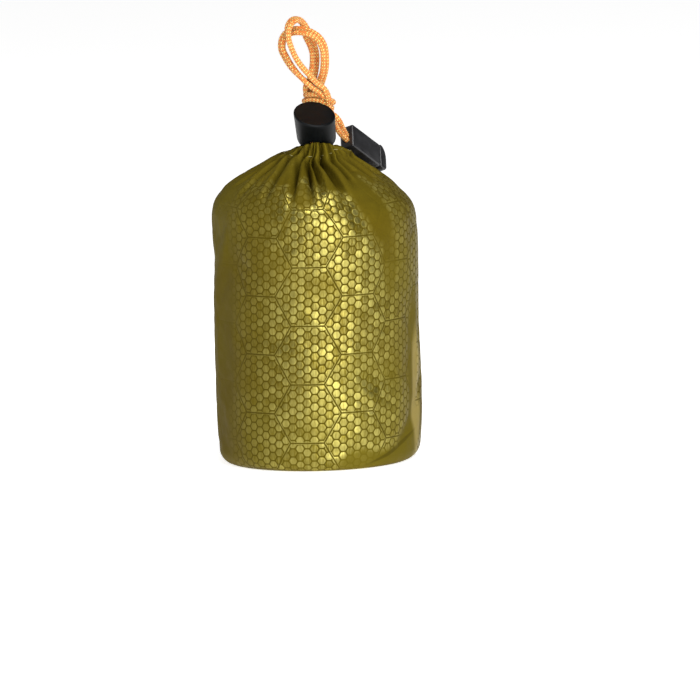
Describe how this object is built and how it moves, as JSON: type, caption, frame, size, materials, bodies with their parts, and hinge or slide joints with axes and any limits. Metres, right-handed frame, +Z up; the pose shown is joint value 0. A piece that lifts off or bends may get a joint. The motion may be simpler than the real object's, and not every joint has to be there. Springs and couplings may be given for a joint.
{
  "type": "packed emergency sleeping bag in drawstring sack",
  "caption": "Rolled emergency sleeping bag packed tight in a small upright drawstring sack of embossed film cloth, with a looped doubled cord, a barrel cord lock and a cord end.",
  "frame": {"origin": "middle of the flat base that the sack stands on", "axes": "+Z up through the gathered mouth, -Y towards the front that the cord lock tips over, +X to the right seen from the front"},
  "size_m": [0.076, 0.076, 0.1654],
  "materials": {
    "sack_cloth": "olive-gold embossed film cloth with a soft metallic sheen",
    "cord": "orange braid with pale reflective flecks",
    "black_plastic": "satin moulded"
  },
  "bodies": {
    "root": {"sack": "sack_cloth", "cord_lock": "black_plastic", "cord_end_body": "black_plastic", "cord_end_cap": "black_plastic", "cord_knot": "cord", "cord_a_neck": "cord", "cord_b_neck": "cord", "cord_a_outer_loop": "cord", "cord_b_outer_loop": "cord", "cord_a_inner_loop": "cord", "cord_b_inner_loop": "cord", "cord_a_tail": "cord", "cord_b_tail": "cord"}
  },
  "joints": []
}
